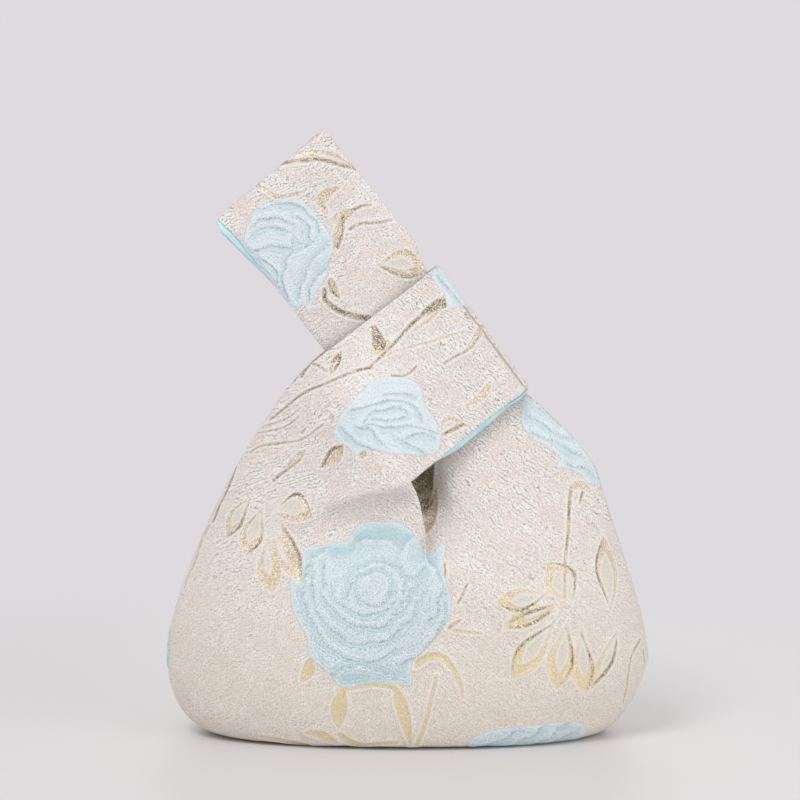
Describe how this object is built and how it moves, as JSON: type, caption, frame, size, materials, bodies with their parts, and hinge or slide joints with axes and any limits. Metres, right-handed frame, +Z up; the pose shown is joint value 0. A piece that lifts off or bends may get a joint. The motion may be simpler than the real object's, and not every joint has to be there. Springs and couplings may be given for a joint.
{
  "type": "knot bag",
  "caption": "Soft knot bag in floral brocade with a satin lining; its long handle is drawn through the short one, which closes the mouth, and is worn on the wrist.",
  "frame": {"origin": "on the table under the middle of the bag", "axes": "+Z up, the front with the visible neckline faces -Y, the short handle comes from the -X side and the long handle from the +X side"},
  "size_m": [0.273, 0.1178, 0.3393],
  "materials": {
    "brocade": "crinkled jacquard brocade, matte cream ground with pale blue roses and gold thread",
    "lining_satin": "bright aqua satin"
  },
  "bodies": {
    "root": {"front_panel": "brocade", "back_panel": "brocade", "front_lining": "lining_satin", "back_lining": "lining_satin"}
  },
  "joints": []
}
